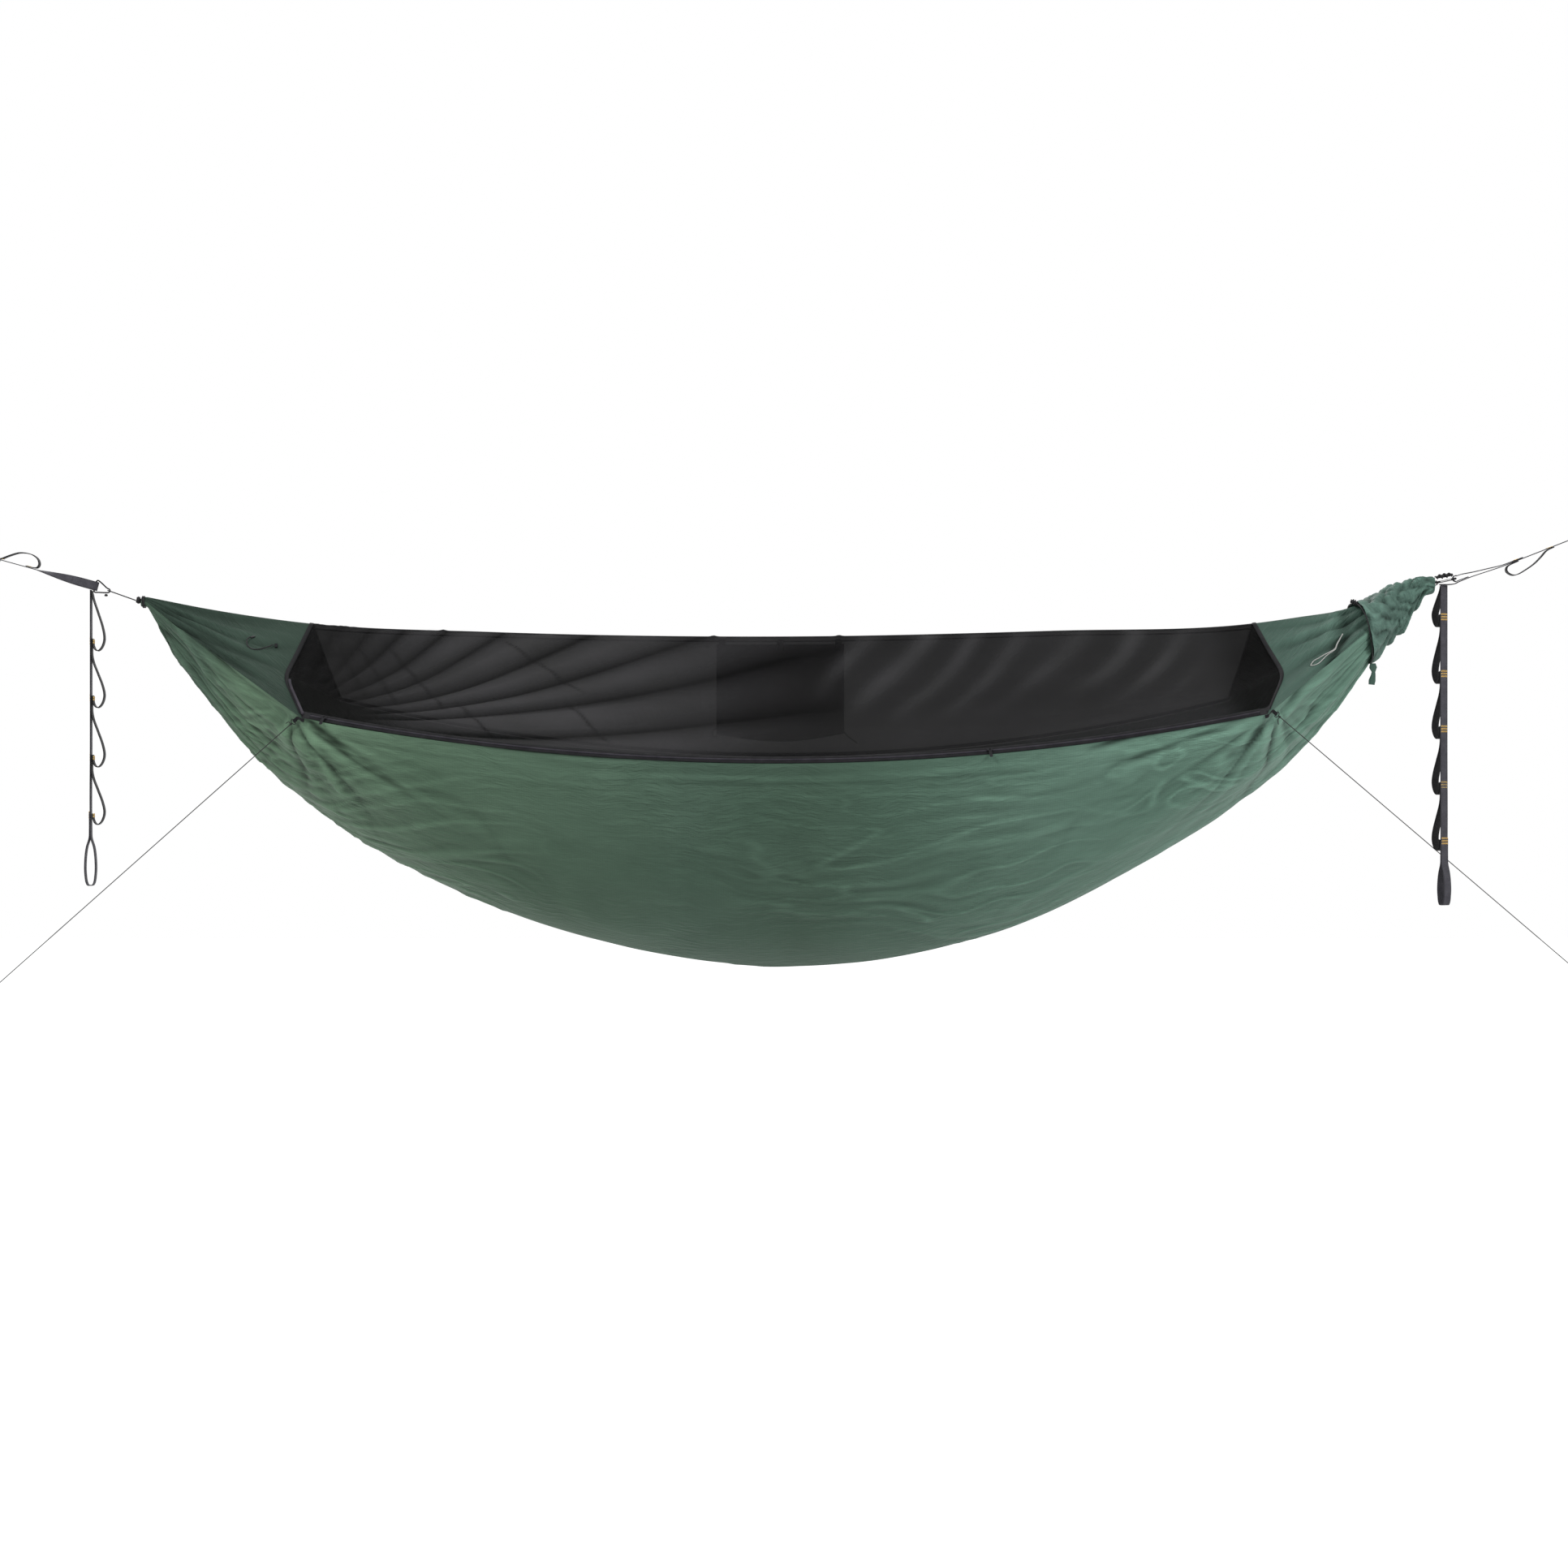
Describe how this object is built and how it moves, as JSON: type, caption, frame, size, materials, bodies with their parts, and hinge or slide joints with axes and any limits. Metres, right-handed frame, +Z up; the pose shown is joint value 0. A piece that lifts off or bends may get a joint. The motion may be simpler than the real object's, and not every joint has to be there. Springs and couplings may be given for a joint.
{
  "type": "camping hammock",
  "caption": "Gathered-end camping hammock with zipped mosquito net, ridge organiser, guy lines and daisy-chain webbing straps with hanging tails.",
  "frame": {"origin": "about halfway between the two points at which the hammock hangs, on its middle plane and level with them", "axes": "+X runs along the hammock from its left to its right end as seen from the zip's side, +Y away from that side, +Z up"},
  "size_m": [3.7808, 0.8322, 1.0917],
  "materials": {
    "green_ripstop": "ripstop weave, matte with a faint sheen",
    "green_sack_cloth": "crumpled thin cloth, matte",
    "black_net": "fine mesh, matte",
    "black_tape": "woven tape, matte",
    "zip_coil": "coil, satin",
    "dark_webbing": "woven webbing, matte",
    "dark_webbing_loops": "woven webbing, matte",
    "black_cord": "braided cord, matte",
    "guy_cord": "thin braided cord, matte",
    "pale_ribbon": "soft tape, matte",
    "black_metal": "satin black",
    "steel_wire": "bright wire",
    "pocket_cloth": "dark thin cloth, matte",
    "black_plastic": "matte"
  },
  "bodies": {
    "straps": {"left_strap": "dark_webbing", "left_slack_loop": "dark_webbing_loops", "right_strap": "dark_webbing", "right_clip_loop": "dark_webbing", "right_slack_loop": "dark_webbing_loops", "left_guy_line": "guy_cord", "right_guy_line": "guy_cord", "left_peg_loop": "guy_cord", "right_peg_loop": "guy_cord"},
    "hammock": {"hammock_body": "green_ripstop", "left_end_panel": "green_ripstop", "right_end_panel": "green_ripstop", "mosquito_net": "black_net", "left_seam_tape": "black_tape", "right_seam_tape": "black_tape", "far_edge_tape": "black_tape", "zip_body_tape": "black_tape", "zip_net_tape": "black_tape", "zip_coil": "zip_coil", "ridge_cord": "black_cord", "left_end_binding": "black_cord", "right_end_binding": "black_cord", "left_end_knot": "black_cord", "right_end_knot": "black_cord", "soft_shackle": "black_cord", "shackle_knob": "black_cord", "left_end_loop": "black_cord", "right_end_loop": "black_cord", "carabiner_body": "black_metal", "left_guy_tab": "black_tape", "right_guy_tab": "black_tape", "left_guy_ring": "black_metal", "right_guy_ring": "black_metal", "left_guy_knot": "guy_cord", "right_guy_knot": "guy_cord", "stow_cord": "black_cord", "stow_toggle": "black_plastic", "stow_tab": "black_plastic", "side_ribbon": "pale_ribbon", "stuff_sack": "green_sack_cloth", "sack_drawcord": "black_cord", "sack_tail": "green_sack_cloth"},
    "left_tail": {"left_tail": "dark_webbing", "left_tail_loops": "dark_webbing_loops"},
    "right_tail": {"right_tail": "dark_webbing", "right_tail_loops": "dark_webbing_loops"},
    "gate": {"carabiner_gate": "steel_wire"},
    "slider_left": {"zip_slider_left": "black_metal"},
    "slider_right": {"zip_slider_right": "black_metal"},
    "pull_left": {"zip_pull_left": "black_metal"},
    "pull_right": {"zip_pull_right": "black_metal"},
    "organiser": {"organiser": "pocket_cloth", "organiser_loop_1": "black_tape", "organiser_loop_2": "black_tape", "organiser_loop_3": "black_tape"}
  },
  "joints": [
    {"name": "hammock_swing", "type": "hinge", "parent": "straps", "child": "hammock", "pos_m": [-1.496, 0, 0.0035], "axis": [1, 0, 0.0039], "range_deg": [-15, 5], "deforming": ["left_guy_line", "right_guy_line"]},
    {"name": "left_tail_swing", "type": "hinge", "parent": "straps", "child": "left_tail", "pos_m": [-1.50465, 0, -0.00526], "axis": [0, 1, 0], "range_deg": [-12, 20]},
    {"name": "right_tail_swing", "type": "hinge", "parent": "straps", "child": "right_tail", "pos_m": [1.4125, 0, 0.005], "axis": [0.891, 0.454, 0], "range_deg": [-20, 2]},
    {"name": "carabiner_gate_hinge", "type": "hinge", "parent": "hammock", "child": "gate", "pos_m": [1.40398, -0.00975, 0.01234], "axis": [-0.2079, 0, 0.9781], "range_deg": [0, 25], "stiffness_Nm_per_rad": 0.01, "springref_deg": -17.19},
    {"name": "zip_slide_left", "type": "hinge", "parent": "hammock", "child": "slider_left", "pos_m": [-0.02554, 1.59513, 3.8297], "axis": [-0.0017, -0.9088, 0.4173], "range_deg": [-0.25, 8]},
    {"name": "zip_slide_right", "type": "hinge", "parent": "hammock", "child": "slider_right", "pos_m": [-0.02554, 1.59513, 3.8297], "axis": [-0.0017, -0.9088, 0.4173], "range_deg": [-8, 6.8]},
    {"name": "pull_hinge_left", "type": "hinge", "parent": "slider_left", "child": "pull_left", "pos_m": [-0.95742, -0.29775, -0.28416], "axis": [0.9795, -0.0856, -0.1825], "range_deg": [-130, 0]},
    {"name": "pull_hinge_right", "type": "hinge", "parent": "slider_right", "child": "pull_right", "pos_m": [0.41083, -0.33085, -0.3507], "axis": [0.9955, 0.0379, 0.0865], "range_deg": [-130, 0]},
    {"name": "organiser_slide", "type": "slide", "parent": "hammock", "child": "organiser", "axis": [1, 0, 0], "range_m": [-0.1, 0.07]}
  ]
}
